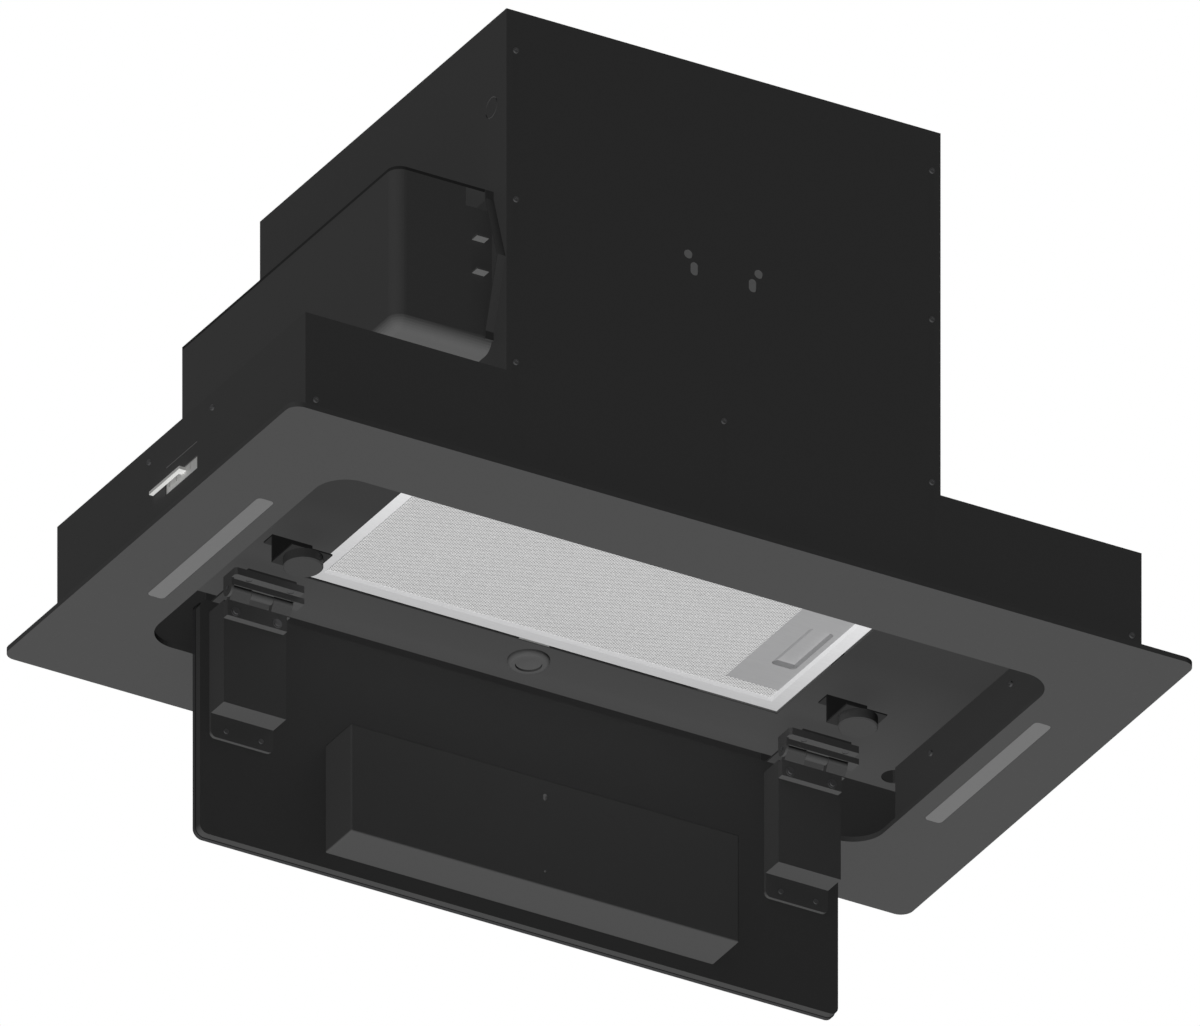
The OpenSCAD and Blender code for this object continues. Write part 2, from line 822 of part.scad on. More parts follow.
// Folded stand that carries a hinge body from the far wall of the recess
module hinge_stand(s) {
    color("#333333") difference() {
        union() {
            tile(stand_x(s), (base_near + tray_d / 2) / 2, base_top, stand_w,
                tray_d / 2 - base_near, stand_t);
            tile(stand_x(s), tray_d / 2 - stand_t / 2, base_top, stand_w, stand_t,
                stand_leg + stand_t);
        }
        for (x = [-1, 1]) {
            hole_y([stand_x(s) + x * stand_w / 4, tray_d / 2, stand_hole_z]);
        }
        for (sx = base_screws_x)
            hole_z([s * hinge_x + sx, base_screw_y, base_top], base_head_r);
    }
}
module hinge_stand_left() { hinge_stand(-1); }
module hinge_stand_right() { hinge_stand(1); }

// Hinge pins, fixed in the hinge bodies
module hinge_pins() {
    color("#b5b5b5") for (x = [-hinge_x, hinge_x])
        rod_x(x + base_left - 0.3 * ear_t,
            x + arm_w / 2 - knuckle_in, pivot_y, pivot_z, pin_dia / 2);
}

// Z-shaped brackets that carry the magnets below the ceiling
module magnet_brackets() {
    depth = bracket_y - magnet_y + magnet_dia / 2;
    color("#242424") for (s = [-1, 1]) translate([s * hinge_x, 0, 0]) difference() {
        union() {
            tile(0, bracket_y - depth / 2 + bracket_t, magnet_top, bracket_w, depth, bracket_t);
            tile(0, bracket_y + bracket_t / 2, magnet_top, bracket_w, bracket_t,
                ceiling_z - magnet_top);
            tile(0, bracket_y + bracket_foot / 2, ceiling_z - bracket_t, bracket_w,
                bracket_foot, bracket_t);
        }
        for (x = [-1, 1])
            hole_z([x * bracket_w / 4, bracket_y + bracket_foot * 0.6, ceiling_z]);
    }
}

// Round magnets that hold the closed panel by its arms
module holding_magnets() {
    color("#2e2e2e") for (s = [-1, 1]) translate([s * hinge_x, magnet_y, magnet_low])
        rotate_extrude() polygon([[0, 0], [magnet_dia / 2 - 1.5 * bracket_t / 2, 0],
            [magnet_dia / 2, 1.5 * bracket_t / 2], [magnet_dia / 2, magnet_h], [0, magnet_h]]);
}

// Raised ring round the push button
module button_bezel() {
    color("#343434") translate([button_x, button_y, ceiling_z - bezel_h]) rotate_extrude()
        difference() {
            translate([bezel_in, 0]) square([bezel_r - bezel_in, bezel_h]);
            translate([bezel_r - bezel_round, 0]) difference() {
                translate([0, -cut]) square([bezel_round + cut, bezel_round + cut]);
                translate([0, bezel_round]) circle(r = bezel_round);
            }
        }
}

// Dished button cap on its stem
module button_cap() {
    r = bezel_in - cap_gap;
    top = cap_h - button_travel - cap_up + cap_gap;
    seat = bezel_h + sheet_t - cap_up;
    steps = 6;
    color("#2a2a2a") translate([button_x, button_y, ceiling_z - bezel_h + cap_up]) rotate_extrude()
        polygon(concat([for (i = [0:steps]) [r * i / steps, cap_dish * (1 - pow(i / steps, 2))]],
            [[r, top], [stem_r, top], [stem_r, seat], [stem_r + stem_lip, seat],
            [stem_r + stem_lip, seat + stem_lip], [0, seat + stem_lip]]));
}

// Switch body above the ceiling, moved by the stem
module button_switch() {
    color("#d8d6cf") translate([button_x, button_y, ceiling_z + sheet_t]) difference() {
        tile(0, 0, 0, switch_w, switch_w, switch_h);
        translate([0, 0, -cut])
            cylinder(r = stem_r + stem_lip + play, h = stem_lip + button_travel + play + cut);
    }
}

// Pale terminal block seen through the window, with its release lever
module terminal_block() {
    x0 = -low_w / 2 + sheet_t + block_gap;
    edge = -tray_w / 2 - ledge_w;
    color("#dcdcd6") union() {
        difference() {
            block([x0, -block_l / 2, block_low], [block_t, block_l, block_h]);
            for (i = [-2:2])
                block([x0 - cut, i * block_l / 5.5 - slit_w, block_low + block_h / 2],
                    [block_t / 3, 2 * slit_w, block_h]);
        }
        block([x0 + block_t - cut, -block_l / 2, ceiling_z + sheet_t],
            [edge - x0 - block_t + ledge_w / 2 + cut, block_l, sheet_t]);
        block([-low_w / 2 - block_gap - lever_w, lever_y, lever_z], [lever_w, lever_l, lever_t]);
        block([-low_w / 2 - block_gap - lever_w, lever_y, lever_z],
            [lever_w + 2 * block_gap + 2 * sheet_t, 2 * lever_w, lever_t]);
    }
}

// Outline solid of the electronics housing, shrunk by a wall; its far end is sharp
module housing_form(wall) {
    r = box_r - wall / 2;
    x0 = -tall_w / 2 - box_out + wall;
    x1 = -tall_w / 2 - cut;
    y0 = box_y0 + wall;
    y1 = box_y0 + box_l - wall;
    z0 = box_z0 + wall;
    z1 = box_top - lid_t - cut;
    hull() {
        translate([x0 + r, y0 + r, z0 + r]) sphere(r = r, $fn = 32);
        translate([x0 + r, y0 + r, z1]) cylinder(r = r, h = cut, $fn = 32);
        translate([x1, y0 + r, z0 + r]) rotate([0, 90, 0]) cylinder(r = r, h = cut, $fn = 32);
        translate([x0 + r, y1, z0 + r]) rotate([90, 0, 0]) cylinder(r = r, h = cut, $fn = 32);
        block([x1, y0, z1], [cut, r, cut]);
        block([x0, y1 - cut, z1], [x1 + cut - x0, cut, cut]);
        block([x1, y1 - cut, z0], [cut, cut, cut]);
    }
}

// Moulded electronics housing on the left wall of the motor casing
module electronics_housing() {
    color("#2a2a2a") union() {
        difference() {
            housing_form(0);
            translate([cut, 0, 2 * cut]) housing_form(box_wall);
            block([-tall_w / 2 - notch_l, box_y0 - cut, box_top - lid_t - notch_h],
                [notch_l + cut, box_wall + 2 * cut, notch_h + cut]);
        }
        for (z = [box_z0 + box_h * 0.45, box_z0 + box_h * 0.66])
            block([-tall_w / 2 - strap_w - rib_h, box_y0 - rib_out, z], [rib_h, rib_out, rib_t]);
    }
}

// Flat lid of the electronics housing, with the housing's one rounded corner
module housing_lid() {
    w = box_out - lid_in;
    l = box_l - 2 * lid_in;
    color("#222222") translate([-tall_w / 2 - w, box_y0 + lid_in, box_top - lid_t])
        linear_extrude(lid_t) {
            translate([box_r, 0]) square([w - box_r, l]);
            translate([0, box_r]) square([w, l - box_r]);
            translate([box_r, box_r]) circle(r = box_r);
        }
}

// Bent spring strap that holds the near end of the housing
module housing_strap() {
    y0 = box_y0 - strap_gap;
    apex = y0 - strap_reach + strap_gap;
    color("#1f1f1f") translate([-tall_w / 2 - strap_w, 0, 0]) rotate([90, 0, 90])
        linear_extrude(strap_w) polygon([[y0, strap_top], [y0, strap_top + strap_w],
            [y0 - strap_t, strap_top + strap_w], [y0 - strap_t, strap_top],
            [apex, strap_mid], [y0 - strap_t, strap_low],
            [y0 - strap_t, strap_low - strap_w], [y0, strap_low - strap_w],
            [y0, strap_low], [apex + strap_t, strap_mid]]);
}

// Control board inside the housing, with its larger components
module control_board() {
    x0 = -tall_w / 2 - board_gap - board_t;
    y0 = box_y0 + board_in;
    z0 = box_z0 + board_in;
    l = box_l - 2 * board_in;
    h = box_h - 2 * board_in - lid_t;
    color("#2f5a3a") union() {
        block([x0, y0, z0], [board_t, l, h]);
        for (p = [[0.1, 0.2], [0.45, 0.55], [0.7, 0.15]])
            block([x0 - board_in, y0 + p[0] * l, z0 + p[1] * h], [board_in, l / 8, h / 4]);
        for (p = [0.3, 0.62, 0.88])
            translate([x0 - 2 * board_in, y0 + p * l, z0 + 0.75 * h]) rotate([0, 90, 0])
                cylinder(r = board_gap * 1.5, h = 2 * board_in);
        for (z = [z0 + board_gap, z0 + h - board_gap], y = [y0 + board_gap, y0 + l - board_gap])
            translate([x0, y, z]) rotate([0, 90, 0])
                cylinder(r = board_t * 1.5, h = board_gap + board_t);
    }
}

// Outline of the blower scroll: quarter turns that grow, and the outlet going up
module scroll_outline(extra) {
    for (i = [0:3]) rotate([0, 0, 90 * i]) intersection() {
        circle(r = scroll_r + (3 - i) * scroll_step + extra);
        square(2 * scroll_r + 2 * extra);
    }
    translate([scroll_r + 3 * scroll_step + extra - outlet_w - 2 * extra, 0])
        square([outlet_w + 2 * extra, tall_top - sheet_t - fan_z]);
}

// Blower scroll round the impeller, with an inlet in each side wall
module blower_scroll() {
    color("#6b6e70") translate([fan_x - scroll_w / 2, fan_y, fan_z]) rotate([90, 0, 90])
        difference() {
            linear_extrude(scroll_w) scroll_outline(scroll_t);
            translate([0, 0, scroll_t]) linear_extrude(scroll_w - 2 * scroll_t) union() {
                scroll_outline(0);
                translate([scroll_r + 3 * scroll_step - outlet_w, 0])
                    square([outlet_w, tall_top - fan_z + cut]);
            }
            translate([0, 0, -cut]) cylinder(r = inlet_r, h = scroll_w + 2 * cut);
        }
}

// External-rotor motor body on the shaft side of the blower
module blower_motor() {
    x0 = fan_x + scroll_w / 2 + spoke_t;
    color("#888b8e") difference() {
        union() {
            rod_x(x0, x0 + motor_l, fan_y, fan_z, motor_r);
            rod_x(x0 + motor_l, x0 + motor_l + foot_t, fan_y, fan_z, motor_r * 0.7);
        }
        rod_x(x0 - cut, x0 + motor_l + cut, fan_y, fan_z, shaft_r + pin_play);
    }
}

// Three-armed bracket that carries the motor on the scroll
module motor_bracket() {
    x0 = fan_x + scroll_w / 2;
    color("#54575a") difference() {
        union() {
            rod_x(x0, x0 + spoke_t, fan_y, fan_z, motor_r * 0.6);
            translate([x0, fan_y, fan_z]) rotate([90, 0, 90]) for (a = [90, 210, 330])
                rotate([0, 0, a]) block([0, -spoke_w / 2, 0], [inlet_r + spoke_w, spoke_w,
                    spoke_t]);
        }
        rod_x(x0 - cut, x0 + spoke_t + cut, fan_y, fan_z, shaft_r + play);
    }
}

// Double-inlet impeller with curved blades between two rings and a hub disc
module impeller() {
    r = fan_dia / 2;
    color("#3f4245") translate([fan_x - fan_w / 2, fan_y, fan_z]) rotate([90, 0, 90]) {
        difference() {
            union() {
                for (z = [0, fan_w - ring_t]) translate([0, 0, z]) difference() {
                    cylinder(r = r, h = ring_t);
                    translate([0, 0, -cut]) cylinder(r = r - blade_deep, h = ring_t + 2 * cut);
                }
                translate([0, 0, fan_w / 2 - disc_t / 2]) cylinder(r = r - blade_deep / 2, h = disc_t);
                cylinder(r = hub_r, h = fan_w);
                linear_extrude(fan_w) for (i = [0:blade_count - 1])
                    rotate([0, 0, i * 360 / blade_count]) translate([r - blade_deep + blade_in, 0])
                        intersection() {
                            difference() {
                                translate([0, blade_deep]) circle(r = blade_deep);
                                translate([0, blade_deep]) circle(r = blade_deep - blade_t);
                            }
                            square([blade_deep - 3 * blade_in, blade_deep]);
                        }
            }
            translate([0, 0, -cut]) cylinder(r = shaft_r, h = fan_w + 2 * cut);
        }
    }
}

// Motor shaft, turning with the impeller
module motor_shaft() {
    color("#c0c0c0") rod_x(fan_x - fan_w / 2 - shaft_out / 2,
        fan_x + scroll_w / 2 + spoke_t + motor_l, fan_y, fan_z, shaft_r);
}

// Screws in the near walls of the two casings
module casing_screws() {
    color("#565656") {
        for (s = [-1, 1], z = rows_z) screw_near([s * (tall_w / 2 - side_in), tall_y0, z]);
        screw_near([0, tall_y0, mid_screw_z]);
        for (x = corner_xs) {
            screw_near([x, -low_d / 2, corner_screw_z]);
            screw_far([x, low_d / 2, corner_screw_z]);
        }
        for (s = [-1, 1]) screw_left([-low_w / 2, s * window_l, ceiling_z + low_h / 3]);
    }
}

// Screws in the side walls of the recess, in the magnet brackets and in the hinge stands
module tray_screws() {
    color("#6a6a6a") {
        for (y = [-1, 1]) {
            screw_left([tray_w / 2, y * wall_screw_y, wall_screw_z]);
            screw_right([-tray_w / 2, y * wall_screw_y, wall_screw_z]);
        }
        for (s = [-1, 1], x = [-1, 1]) {
            translate([s * hinge_x + x * bracket_w / 4, bracket_y + bracket_foot * 0.6,
                ceiling_z - bracket_t]) screw();
            screw_near([stand_x(s) + x * stand_w / 4, tray_d / 2 - stand_t, stand_hole_z]);
        }
    }
}

frame_plate();
light_diffusers();
light_modules();
lower_casing();
corner_brackets();
recess_tray();
motor_casing();
duct_collar();
cable_gland();
filter_frame();
filter_mesh();
filter_end_plate();
filter_latch();
suction_panel_back();
suction_panel_glass();
panel_arm_left();
panel_arm_right();
panel_arm_screws();
air_guide();
hinge_leaf_left();
hinge_leaf_right();
hinge_leaf_screws();
hinge_base_left();
hinge_base_right();
hinge_base_screws();
hinge_stand_left();
hinge_stand_right();
hinge_pins();
magnet_brackets();
holding_magnets();
button_bezel();
button_cap();
button_switch();
terminal_block();
electronics_housing();
housing_lid();
housing_strap();
control_board();
blower_scroll();
blower_motor();
motor_bracket();
impeller();
motor_shaft();
casing_screws();
tray_screws();
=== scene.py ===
"""Range hood seen from below, its suction panel hanging open: materials, small edge radii, filter weave,
light and camera.

Every length is in metres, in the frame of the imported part.
"""

import json
import math

import bmesh
import bpy
from mathutils import Matrix, Vector


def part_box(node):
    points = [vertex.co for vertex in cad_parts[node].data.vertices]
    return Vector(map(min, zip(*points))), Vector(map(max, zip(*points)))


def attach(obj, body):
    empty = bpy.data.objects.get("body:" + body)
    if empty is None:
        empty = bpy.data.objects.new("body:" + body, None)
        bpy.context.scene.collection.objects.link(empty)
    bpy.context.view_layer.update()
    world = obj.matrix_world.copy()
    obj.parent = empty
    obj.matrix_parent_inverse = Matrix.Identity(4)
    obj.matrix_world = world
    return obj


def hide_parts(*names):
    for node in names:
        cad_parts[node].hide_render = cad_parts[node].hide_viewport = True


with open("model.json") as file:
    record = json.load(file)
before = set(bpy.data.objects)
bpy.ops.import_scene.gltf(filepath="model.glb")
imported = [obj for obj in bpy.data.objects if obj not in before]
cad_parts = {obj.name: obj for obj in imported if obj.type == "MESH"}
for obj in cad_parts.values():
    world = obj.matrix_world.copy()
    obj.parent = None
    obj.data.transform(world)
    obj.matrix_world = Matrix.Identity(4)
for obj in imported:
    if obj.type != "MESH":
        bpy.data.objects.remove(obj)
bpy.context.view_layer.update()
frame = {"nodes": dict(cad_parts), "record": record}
nodes = frame["nodes"]
body_of = {n: b for b, ns in frame["record"]["behaviour"]["bodies"].items() for n in ns}

MM = 0.001

# Camera: an exact parallel projection, 30 degrees below the horizon and 30 degrees from the left
VIEW_AZIMUTH = math.radians(30)
VIEW_ELEVATION = math.radians(30)
VIEW_TARGET = Vector((0.6, 0.0, 142.1)) * MM
VIEW_WIDTH = 1034.1 * MM
VIEW_DISTANCE = 2.4

# Light levels: 1 is the level at which a face that looks into the light shows its own colour
WORLD_FILL = 0.05
WORLD_MIRRORED = 0.13
# The way the light goes: mostly up, with a little to the right and away from the viewer
KEY_WAY = Vector((0.294, 0.182, 0.94))
KEY_PLAIN = 0.86
KEY_SOFT = 0.14
KEY_SPREAD = math.radians(70)
PLAIN_SPREAD = 0.02
# From above, straight down, for the top faces and the floor
TOP_WAY = Vector((0.0, 0.0, -1.0))
TOP_LEVEL = 1.0
TOP_SPREAD = math.radians(5)
ABOVE_POWER = 60.0
ABOVE_SIZE = 2.2
ABOVE_PLACE = Vector((1.7, 2.4, 2.6))
# The floor lies below the camera in every view, and wide enough for the flat ones
FLOOR_Z = -2.8
FLOOR_SIZE = 40.0

# Filter weave: pitch and thickness of the strands of the expanded metal
WEAVE_PITCH = 2.3 * MM
WEAVE_WIDTH = 1.0 * MM
WEAVE_HEIGHT = 0.5 * MM
WEAVE_ANGLE = math.radians(33)
# Of the strand's half width, the part that its flat ridge keeps; of its height, the step between the sets
RIDGE_SHARE = 0.3
LAYER_SHARE = 0.6
SHORTEST_STRAND = 0.004  # as a share of the full line
TINY = 1e-9

# Softened edges: what counts as one point, as flat, as sharp and as long enough
WELD = 0.001 * MM
FLAT_ANGLE = math.radians(1)
SHARP_ANGLE = math.radians(40)
SHORTEST_EDGE = 6 * MM
SOFT_EDGES = {
    "frame_plate": 0.6 * MM, "suction_panel_glass": 0.8 * MM, "panel_arm_left": 0.9 * MM,
    "panel_arm_right": 0.9 * MM, "air_guide": 1.4 * MM, "hinge_leaf_left": 0.4 * MM,
    "hinge_leaf_right": 0.4 * MM,
}

# The grain of powder coats, as a noise scale
GRAIN = 900.0


def grey(level):
    """The linear value of a grey that is written as 0 to 255 on a screen."""
    v = level / 255
    return v / 12.92 if v <= 0.04045 else ((v + 0.055) / 1.055) ** 2.4


def rgb(r, g, b):
    return (grey(r), grey(g), grey(b), 1.0)


# Materials


def new_material(name):
    m = bpy.data.materials.new(name)
    m.use_nodes = True
    tree = m.node_tree
    return m, tree, tree.nodes["Principled BSDF"]


def textured(name, colour, spread, scale, roughness, specular, metallic=0.0, bump=0.0, coat=0.0,
             stretch=(1, 1, 1), detail=4.0):
    """A material whose colour and relief vary with a noise in the part's own coordinates."""
    m, tree, shader = new_material(name)
    coords = tree.nodes.new("ShaderNodeTexCoord")
    mapping = tree.nodes.new("ShaderNodeMapping")
    mapping.inputs["Scale"].default_value = stretch
    noise = tree.nodes.new("ShaderNodeTexNoise")
    noise.inputs["Scale"].default_value = scale
    noise.inputs["Detail"].default_value = detail
    ramp = tree.nodes.new("ShaderNodeValToRGB")
    low, high = (tuple(c * f for c in colour[:3]) + (1.0,) for f in (1 - spread, 1 + spread))
    ramp.color_ramp.elements[0].position = 0.3
    ramp.color_ramp.elements[1].position = 0.7
    ramp.color_ramp.elements[0].color = low
    ramp.color_ramp.elements[1].color = high
    tree.links.new(coords.outputs["Object"], mapping.inputs["Vector"])
    tree.links.new(mapping.outputs["Vector"], noise.inputs["Vector"])
    tree.links.new(noise.outputs["Fac"], ramp.inputs["Fac"])
    tree.links.new(ramp.outputs["Color"], shader.inputs["Base Color"])
    shader.inputs["Roughness"].default_value = roughness
    shader.inputs["Specular IOR Level"].default_value = specular
    shader.inputs["Metallic"].default_value = metallic
    shader.inputs["Coat Weight"].default_value = coat
    if bump:
        relief = tree.nodes.new("ShaderNodeBump")
        relief.inputs["Strength"].default_value = bump
        relief.inputs["Distance"].default_value = 0.1 * MM
        tree.links.new(noise.outputs["Fac"], relief.inputs["Height"])
        tree.links.new(relief.outputs["Normal"], shader.inputs["Normal"])
    return m


def paint_light_and_shade_along(material, axis, start, end, first, last):
    """Paints light and shade into a material's colour: scales it, on faces that look up or down, along a
    world axis.
    """
    tree = material.node_tree
    shader = tree.nodes["Principled BSDF"]
    source = shader.inputs["Base Color"].links[0].from_socket
    place = tree.nodes.new("ShaderNodeNewGeometry")
    split = tree.nodes.new("ShaderNodeSeparateXYZ")
    facing = tree.nodes.new("ShaderNodeSeparateXYZ")
    steep = tree.nodes.new("ShaderNodeMath")
    steep.operation = "ABSOLUTE"
    span = tree.nodes.new("ShaderNodeMapRange")
    for key, value in (("From Min", start), ("From Max", end), ("To Min", first), ("To Max", last)):
        span.inputs[key].default_value = value
    choose = tree.nodes.new("ShaderNodeMapRange")
    choose.inputs["To Min"].default_value = 1.0
    scale = tree.nodes.new("ShaderNodeVectorMath")
    scale.operation = "SCALE"
    tree.links.new(place.outputs["Position"], split.inputs[0])
    tree.links.new(place.outputs["Normal"], facing.inputs[0])
    tree.links.new(facing.outputs["Z"], steep.inputs[0])
    tree.links.new(split.outputs[axis], span.inputs["Value"])
    tree.links.new(steep.outputs[0], choose.inputs["Value"])
    tree.links.new(span.outputs["Result"], choose.inputs["To Max"])
    tree.links.new(source, scale.inputs[0])
    tree.links.new(choose.outputs["Result"], scale.inputs["Scale"])
    tree.links.new(scale.outputs[0], shader.inputs["Base Color"])


powder_frame = textured("powder_coat_frame", rgb(80, 80, 80), 0.03, GRAIN, 0.6, 0.12, bump=0.12)
powder_case = textured("powder_coat_casing", rgb(80, 80, 80), 0.03, GRAIN, 0.65, 0.07, bump=0.12)
powder_tray = textured("powder_coat_recess", rgb(80, 80, 80), 0.03, GRAIN, 0.6, 0.12, bump=0.12)
powder_panel = textured("powder_coat_panel", rgb(75, 75, 75), 0.03, GRAIN, 0.6, 0.05, bump=0.1)
black_glass = textured("black_glass", rgb(60, 60, 61), 0.02, 60.0, 0.06, 0.5)
moulded = textured("moulded_plastic", rgb(80, 80, 80), 0.04, 1400.0, 0.6, 0.06, bump=0.2)
moulded_box = textured("moulded_housing", rgb(84, 84, 84), 0.04, 1400.0, 0.6, 0.04, bump=0.2)
# Painted shade: the lid is painted darker than the housing so that its edge reads as the shadow line of
# the seam
lid_seam_shade = textured("housing_lid_seam_shade", rgb(52, 52, 52), 0.04, 1400.0, 0.6, 0.05, bump=0.2)
hinge_black = textured("hinge_metal", rgb(82, 82, 82), 0.05, 700.0, 0.5, 0.12, bump=0.1)
bracket_black = textured("bracket_steel", rgb(68, 68, 68), 0.04, 800.0, 0.6, 0.05, bump=0.1)
bracket_dark = textured("magnet_bracket_steel", rgb(50, 50, 50), 0.04, 800.0, 0.6, 0.05, bump=0.1)
magnet_black = textured("magnet_coat", rgb(71, 71, 71), 0.04, 500.0, 0.45, 0.12, bump=0.06)
button_black = textured("button_plastic", rgb(88, 88, 88), 0.04, 1200.0, 0.45, 0.25, bump=0.1)
zinc = textured("zinc_plate", rgb(176, 178, 181), 0.12, 90.0, 0.42, 0.5, metallic=0.9, bump=0.1)
steel = textured("ground_steel", rgb(190, 191, 193), 0.06, 400.0, 0.3, 0.5, metallic=1.0)
screw_steel = textured("screw_steel", rgb(104, 104, 105), 0.08, 500.0, 0.42, 0.4, metallic=0.4)
anodised = textured("anodised_aluminium", rgb(248, 248, 249), 0.03, 60.0, 0.42, 0.5, metallic=0.05,
                    stretch=(1, 14, 14), bump=0.04)
end_metal = textured("filter_plate_aluminium", rgb(190, 190, 191), 0.03, 60.0, 0.42, 0.5,
                     metallic=0.25, stretch=(1, 14, 14), bump=0.04)
strand = textured("expanded_strand", rgb(240, 240, 240), 0.08, 900.0, 0.38, 0.5, metallic=0.2,
                  bump=0.1)
# Painted shade: the mesh behind the strands is a darker copy of the strand metal, for the shaded inner
# layers of the filter
web_back_painted_shade = textured("expanded_back_painted_shade", rgb(84, 84, 85), 0.15, 500.0, 0.5, 0.5, metallic=0.2)
opal = textured("opal_cover", rgb(119, 119, 119), 0.01, 300.0, 0.5, 0.15)
light_body = textured("light_body", rgb(190, 190, 190), 0.05, 300.0, 0.5, 0.4, metallic=0.6)
pale = textured("pale_plastic", rgb(226, 226, 224), 0.03, 900.0, 0.5, 0.3, bump=0.1)
laminate = textured("board_laminate", rgb(52, 92, 62), 0.1, 300.0, 0.4, 0.4)
scroll_grey = textured("scroll_plastic", rgb(112, 114, 116), 0.04, 900.0, 0.5, 0.3, bump=0.15)
rotor_grey = textured("rotor_plastic", rgb(84, 86, 88), 0.04, 900.0, 0.5, 0.3, bump=0.1)
motor_grey = textured("motor_paint", rgb(140, 142, 144), 0.05, 500.0, 0.45, 0.4, bump=0.1)

# Painted shade: the ceiling grows darker towards the cook, where the recess lies in shade; painted sheen
# makes the filter's frame brighter towards the cook
paint_light_and_shade_along(powder_tray, "Y", -0.02, 0.16, 0.58, 0.95)
# Painted sheen and shade: the filter's frame is painted bright near the cook and dimmer away from it
paint_light_and_shade_along(anodised, "Y", -0.1, 0.1, 1.0, 0.66)
# Painted light: the housing's underside, and its top, are painted paler than its walls
paint_light_and_shade_along(moulded_box, "Y", 0.0, 1.0, 1.45, 1.45)

MATERIAL_OF = {
    "frame_plate": powder_frame, "light_diffusers": opal, "light_modules": light_body,
    "lower_casing": powder_case, "corner_brackets": zinc, "recess_tray": powder_tray,
    "motor_casing": powder_case, "duct_collar": zinc, "cable_gland": moulded,
    "filter_frame": anodised, "filter_mesh": web_back_painted_shade, "filter_end_plate": end_metal,
    "filter_latch": end_metal, "suction_panel_back": powder_panel,
    "suction_panel_glass": black_glass, "panel_arm_left": moulded, "panel_arm_right": moulded,
    "panel_arm_screws": screw_steel, "air_guide": moulded, "hinge_leaf_left": hinge_black,
    "hinge_leaf_right": hinge_black, "hinge_leaf_screws": screw_steel,
    "hinge_base_left": hinge_black, "hinge_base_right": hinge_black,
    "hinge_base_screws": screw_steel, "hinge_stand_left": bracket_black,
    "hinge_stand_right": bracket_black, "hinge_pins": steel, "magnet_brackets": bracket_dark,
    "holding_magnets": magnet_black, "button_bezel": button_black, "button_cap": button_black,
    "button_switch": pale, "terminal_block": pale, "electronics_housing": moulded_box,
    "housing_lid": lid_seam_shade, "housing_strap": bracket_black, "control_board": laminate,
    "blower_scroll": scroll_grey, "blower_motor": motor_grey, "motor_bracket": zinc,
    "impeller": rotor_grey, "motor_shaft": steel, "casing_screws": screw_steel,
    "tray_screws": screw_steel,
}


def dress(obj, material):
    """Gives every slot of obj that material."""
    if not obj.material_slots:
        obj.data.materials.append(material)
    for s in obj.material_slots:
        s.link = "OBJECT"
        s.material = material


for node_name, node in nodes.items():
    dress(node, MATERIAL_OF[node_name])


# Edges: pressed and moulded pieces get their small radii


def soften(name, radius, segments=3):
    """A copy of a CAD node whose long sharp edges are rounded stands for that node."""
    mesh = nodes[name].data.copy()
    work = bmesh.new()
    work.from_mesh(mesh)
    bmesh.ops.remove_doubles(work, verts=work.verts, dist=WELD)
    bmesh.ops.dissolve_limit(work, angle_limit=FLAT_ANGLE, verts=work.verts,
                             edges=work.edges, delimit=set())
    sharp = [e for e in work.edges if len(e.link_faces) == 2 and e.calc_length() > SHORTEST_EDGE
             and e.is_convex and e.calc_face_angle(0) > SHARP_ANGLE]
    bmesh.ops.bevel(work, geom=sharp, offset=radius, segments=segments, profile=0.5,
                    affect="EDGES", clamp_overlap=True)
    bmesh.ops.triangulate(work, faces=[f for f in work.faces if len(f.verts) > 4])
    work.to_mesh(mesh)
    work.free()
    piece = bpy.data.objects.new(name + "_soft", mesh)
    bpy.context.scene.collection.objects.link(piece)
    mesh.materials.clear()
    dress(piece, MATERIAL_OF[name])
    for p in mesh.polygons:
        p.use_smooth = False
    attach(piece, body_of[name])
    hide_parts(name)
    return piece


for soft_node, soft_radius in SOFT_EDGES.items():
    soften(soft_node, soft_radius)


# Filter weave: two sets of slanted strands across the opening of the filter frame


def weave_lines(x0, x1, y0, y1, angle):
    """Parallel lines at that angle, clipped to a rectangle."""
    step = WEAVE_PITCH / math.cos(angle)
    slope = math.tan(angle)
    reach = (x1 - x0) * abs(slope)
    count = int((y1 - y0 + reach) / step)
    for i in range(count + 1):
        y_left = y0 - (reach if slope > 0 else 0) + i * step
        (xa, ya), (xb, yb) = (x0, y_left), (x1, y_left + slope * (x1 - x0))
        ts = [0.0, 1.0]
        for edge in (y0, y1):
            if abs(yb - ya) > TINY:
                ts.append((edge - ya) / (yb - ya))
        inside = sorted(t for t in ts if 0 <= t <= 1
                        and y0 - TINY <= ya + t * (yb - ya) <= y1 + TINY)
        if len(inside) >= 2 and inside[-1] - inside[0] > SHORTEST_STRAND:
            a, b = inside[0], inside[-1]
            yield (xa + a * (xb - xa), ya + a * (yb - ya)), (xa + b * (xb - xa), ya + b * (yb - ya))


def strand_prism(work, start, end, z):
    """One strand with a roof-shaped section whose ridge points down."""
    a, b = Vector((*start, z)), Vector((*end, z))
    along = (b - a).normalized()
    side = Vector((-along.y, along.x, 0)) * WEAVE_WIDTH / 2
    down = Vector((0, 0, -WEAVE_HEIGHT))
    rings = [[work.verts.new(p + o) for o in (-side, down - side * RIDGE_SHARE,
                                                     down + side * RIDGE_SHARE, side)]
             for p in (a, b)]
    for i in range(4):
        j = (i + 1) % 4
        work.faces.new((rings[0][i], rings[0][j], rings[1][j], rings[1][i]))
    work.faces.new(rings[0][::-1])
    work.faces.new(rings[1])


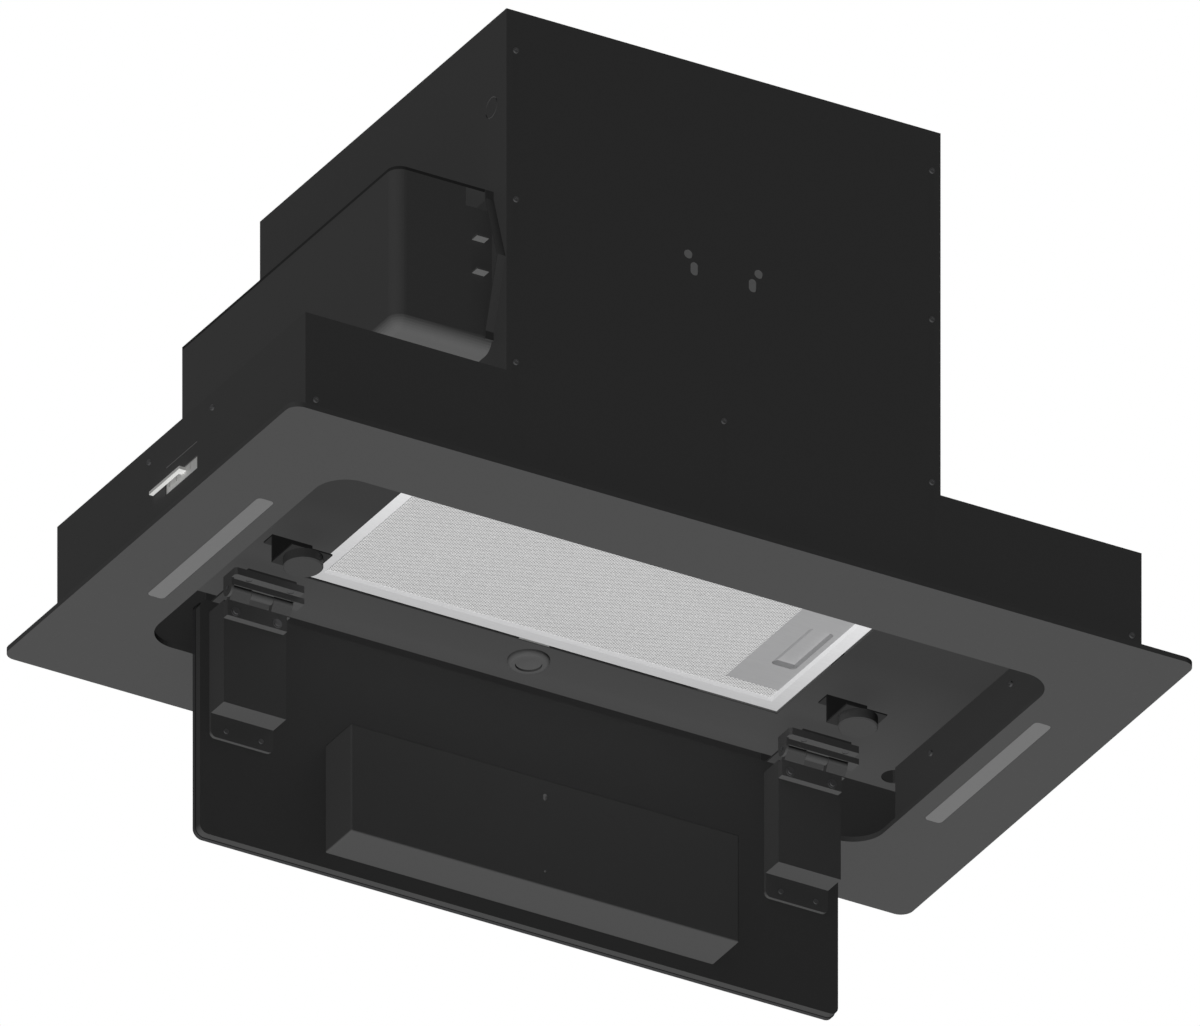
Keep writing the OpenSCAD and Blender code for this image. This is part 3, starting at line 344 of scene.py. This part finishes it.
def filter_weave():
    low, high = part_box("filter_mesh")
    plate_low, plate_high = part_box("filter_end_plate")
    z = low.z
    work = bmesh.new()
    areas = [(low.x, plate_low.x, low.y, high.y), (plate_low.x, high.x, plate_high.y, high.y)]
    for x0, x1, y0, y1 in areas:
        for k, angle in enumerate((WEAVE_ANGLE, -WEAVE_ANGLE)):
            for start, end in weave_lines(x0, x1, y0, y1, angle):
                strand_prism(work, start, end, z - k * WEAVE_HEIGHT * LAYER_SHARE)
    bmesh.ops.recalc_face_normals(work, faces=work.faces)
    mesh = bpy.data.meshes.new("filter_weave")
    work.to_mesh(mesh)
    work.free()
    piece = bpy.data.objects.new("filter_weave", mesh)
    bpy.context.scene.collection.objects.link(piece)
    dress(piece, strand)
    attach(piece, body_of["filter_mesh"])


filter_weave()


# Stage: pale floor, white surroundings, plain light from below and from above


def pale_floor():
    mesh = bpy.data.meshes.new("floor")
    h = FLOOR_SIZE / 2
    mesh.from_pydata([(-h, -h, FLOOR_Z), (h, -h, FLOOR_Z), (h, h, FLOOR_Z), (-h, h, FLOOR_Z)],
                     [], [(0, 1, 2, 3)])
    floor = bpy.data.objects.new("floor", mesh)
    bpy.context.scene.collection.objects.link(floor)
    dress(floor, textured("floor_paint", rgb(250, 250, 250), 0.01, 3.0, 0.9, 0.1))
    floor.visible_diffuse = False
    floor.visible_glossy = False


def white_world():
    world = bpy.data.worlds.new("white")
    bpy.context.scene.world = world
    world.use_nodes = True
    tree = world.node_tree
    tree.nodes.clear()
    path = tree.nodes.new("ShaderNodeLightPath")
    either = tree.nodes.new("ShaderNodeMath")
    either.operation = "MAXIMUM"
    mirrored = tree.nodes.new("ShaderNodeBackground")
    mirrored.inputs["Color"].default_value = (1, 1, 1, 1)
    mirrored.inputs["Strength"].default_value = WORLD_MIRRORED
    base = tree.nodes.new("ShaderNodeMixShader")
    fill = tree.nodes.new("ShaderNodeBackground")
    fill.inputs["Color"].default_value = (1, 1, 1, 1)
    fill.inputs["Strength"].default_value = WORLD_FILL
    white = tree.nodes.new("ShaderNodeBackground")
    white.inputs["Color"].default_value = (1, 1, 1, 1)
    white.inputs["Strength"].default_value = 1.0
    mix = tree.nodes.new("ShaderNodeMixShader")
    out = tree.nodes.new("ShaderNodeOutputWorld")
    tree.links.new(path.outputs["Is Glossy Ray"], base.inputs["Fac"])
    tree.links.new(fill.outputs[0], base.inputs[1])
    tree.links.new(mirrored.outputs[0], base.inputs[2])
    tree.links.new(path.outputs["Is Camera Ray"], either.inputs[0])
    tree.links.new(path.outputs["Is Transmission Ray"], either.inputs[1])
    tree.links.new(either.outputs[0], mix.inputs["Fac"])
    tree.links.new(base.outputs[0], mix.inputs[1])
    tree.links.new(white.outputs[0], mix.inputs[2])
    tree.links.new(mix.outputs[0], out.inputs["Surface"])


def soft_lamp(name, place, power, size):
    data = bpy.data.lights.new(name, "AREA")
    data.energy = power
    data.size = size
    lamp = bpy.data.objects.new(name, data)
    lamp.location = place
    lamp.rotation_euler = (VIEW_TARGET - place).to_track_quat("-Z", "Y").to_euler()
    lamp.visible_camera = False
    lamp.visible_glossy = False
    bpy.context.scene.collection.objects.link(lamp)


def sun(name, way, level, spread, shadow):
    """Parallel light; a white face that looks into it shows that level."""
    data = bpy.data.lights.new(name, "SUN")
    data.energy = level * math.pi
    data.angle = spread
    data.use_shadow = shadow
    lamp = bpy.data.objects.new(name, data)
    lamp.rotation_euler = way.to_track_quat("-Z", "Y").to_euler()
    lamp.visible_camera = False
    lamp.visible_glossy = False
    bpy.context.scene.collection.objects.link(lamp)


def camera():
    sa, ca = math.sin(VIEW_AZIMUTH), math.cos(VIEW_AZIMUTH)
    se, ce = math.sin(VIEW_ELEVATION), math.cos(VIEW_ELEVATION)
    right = Vector((ca, -sa, 0))
    look = Vector((sa * ce, ca * ce, se))
    up = right.cross(look)
    data = bpy.data.cameras.new("camera")
    data.type = "ORTHO"
    data.ortho_scale = VIEW_WIDTH
    obj = bpy.data.objects.new("camera", data)
    turn = Matrix((right, up, -look)).transposed().to_4x4()
    obj.matrix_world = Matrix.Translation(VIEW_TARGET - look * VIEW_DISTANCE) @ turn
    bpy.context.scene.collection.objects.link(obj)
    bpy.context.scene.camera = obj


pale_floor()
white_world()
sun("key_plain", KEY_WAY, KEY_PLAIN, PLAIN_SPREAD, False)
sun("key_soft", KEY_WAY, KEY_SOFT, KEY_SPREAD, True)
sun("top_soft", TOP_WAY, TOP_LEVEL, TOP_SPREAD, True)
soft_lamp("above", ABOVE_PLACE, ABOVE_POWER, ABOVE_SIZE)
camera()
bpy.context.scene.view_settings.view_transform = "Standard"
